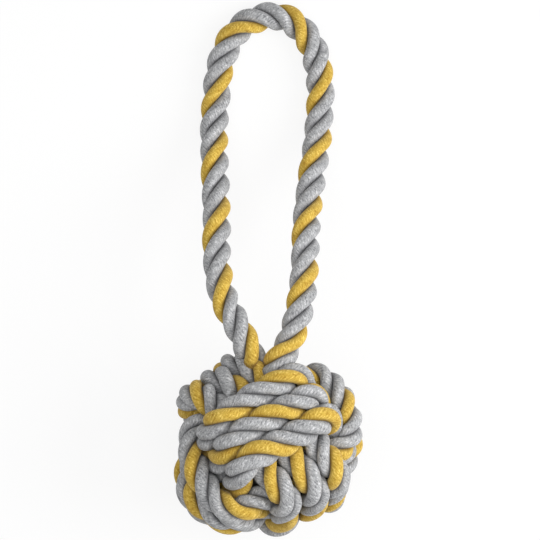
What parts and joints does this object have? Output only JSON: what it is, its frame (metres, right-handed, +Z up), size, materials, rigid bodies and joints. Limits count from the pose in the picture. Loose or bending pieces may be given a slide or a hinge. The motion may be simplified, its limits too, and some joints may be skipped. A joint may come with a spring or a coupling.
{
  "type": "rope dog toy",
  "caption": "Ball knotted from thick twisted cotton rope, with a long loop of the same rope as a handle, for a dog to fetch, chew and tug.",
  "frame": {"origin": "on the floor, in the middle of the footprint of the toy as it lies", "axes": "+Y from the ball along the handle to the top of the loop, +Z up off the floor, +X to the right as seen from above with the handle pointing away"},
  "size_m": [0.0954, 0.2712, 0.0971],
  "materials": {
    "cotton_rope": "three-strand cotton, two strands grey heather and one mustard yellow",
    "core_filling": "undyed cotton filling"
  },
  "bodies": {
    "ball": {"core_ball": "core_filling", "first_turns": "cotton_rope", "second_turns": "cotton_rope", "third_turns": "cotton_rope", "neck_end": "cotton_rope"},
    "handle": {"left_leg": "cotton_rope", "right_leg": "cotton_rope"},
    "loop_top": {"left_upper": "cotton_rope", "right_upper": "cotton_rope", "loop_arch": "cotton_rope"}
  },
  "joints": [
    {"name": "handle_lift", "type": "hinge", "parent": "ball", "child": "handle", "pos_m": [0, -0.03417, 0.0633], "axis": [1, 0, 0], "range_deg": [0, 105]},
    {"name": "loop_fold", "type": "hinge", "parent": "handle", "child": "loop_top", "pos_m": [0, 0.03777, 0.028], "axis": [1, 0, 0], "range_deg": [0, 90]}
  ]
}
